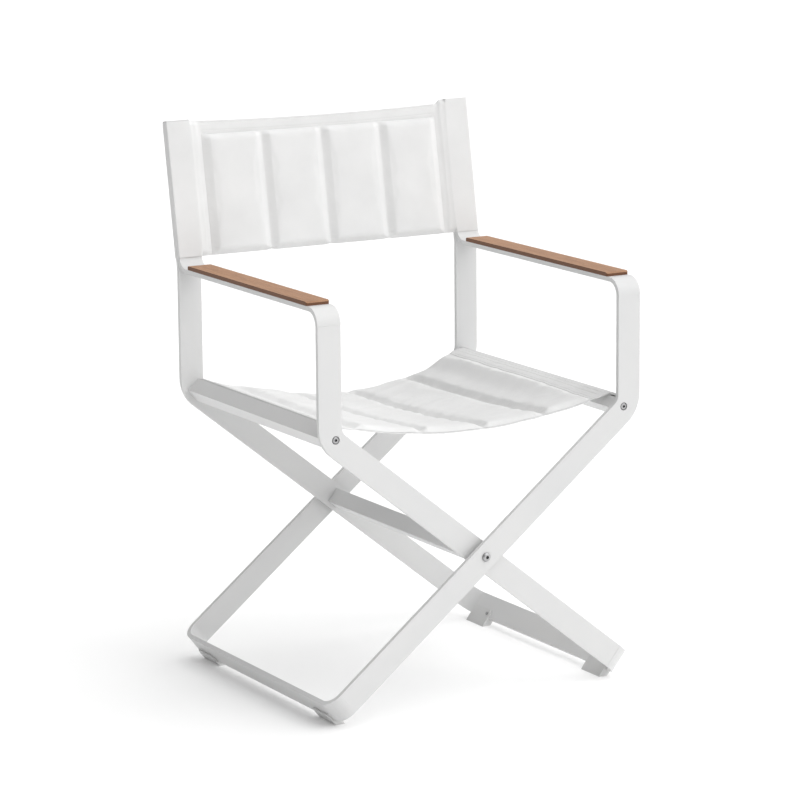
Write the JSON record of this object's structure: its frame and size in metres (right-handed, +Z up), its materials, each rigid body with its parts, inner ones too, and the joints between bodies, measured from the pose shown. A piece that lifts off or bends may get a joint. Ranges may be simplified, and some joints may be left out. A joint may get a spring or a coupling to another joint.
{
  "type": "folding director chair",
  "caption": "Folding director chair: bent flat-bar X frames with arms, teak arm slats, and padded, channel-stitched seat and back slings.",
  "frame": {"origin": "middle of the chair's overall box in X and Y, on the floor", "axes": "+Z up; the chair faces -Y, so its back is towards +Y; +X is to the right for someone looking at the front"},
  "size_m": [0.5722, 0.5518, 0.8894],
  "materials": {
    "frame_white": "white textured powder coat on aluminium flat bar",
    "teak": "oiled teak, fine straight grain",
    "steel": "stainless button-head screws",
    "glide": "translucent white nylon glide",
    "bush": "white nylon bush, spacer and plug",
    "canvas": "white woven outdoor fabric",
    "padding": "white woven fabric over thin foam channels"
  },
  "bodies": {
    "outer_frame": {"outer_front_leg": "frame_white", "outer_rear_leg": "frame_white", "outer_arm": "frame_white", "outer_floor_bar": "frame_white", "outer_slat": "teak", "outer_slat_screws": "steel", "outer_seat_rail": "frame_white", "outer_rail_screws": "steel", "outer_keder": "canvas", "outer_front_foot": "glide", "outer_rear_foot": "glide", "outer_foot_screws": "steel", "front_pivot_bush": "bush", "rear_pivot_bush": "bush", "seat_sling": "canvas", "seat_padding": "padding", "back_sling": "canvas", "back_padding": "padding"},
    "inner_frame": {"inner_front_leg": "frame_white", "inner_rear_leg": "frame_white", "inner_arm": "frame_white", "inner_floor_bar": "frame_white", "inner_slat": "teak", "inner_slat_screws": "steel", "inner_seat_rail": "frame_white", "inner_rail_screws": "steel", "inner_keder": "canvas", "inner_front_foot": "glide", "inner_rear_foot": "glide", "inner_foot_screws": "steel", "cross_rail": "frame_white", "cross_rail_plugs": "bush", "front_pivot_screw": "steel", "rear_pivot_screw": "steel", "front_pivot_spacer": "bush", "rear_pivot_spacer": "bush"}
  },
  "joints": [
    {"name": "fold", "type": "hinge", "parent": "outer_frame", "child": "inner_frame", "pos_m": [0, -0.01905, 0.24], "axis": [0, 1, 0], "range_deg": [0, 40], "deforming": ["seat_sling", "seat_padding", "back_sling", "back_padding"]}
  ]
}
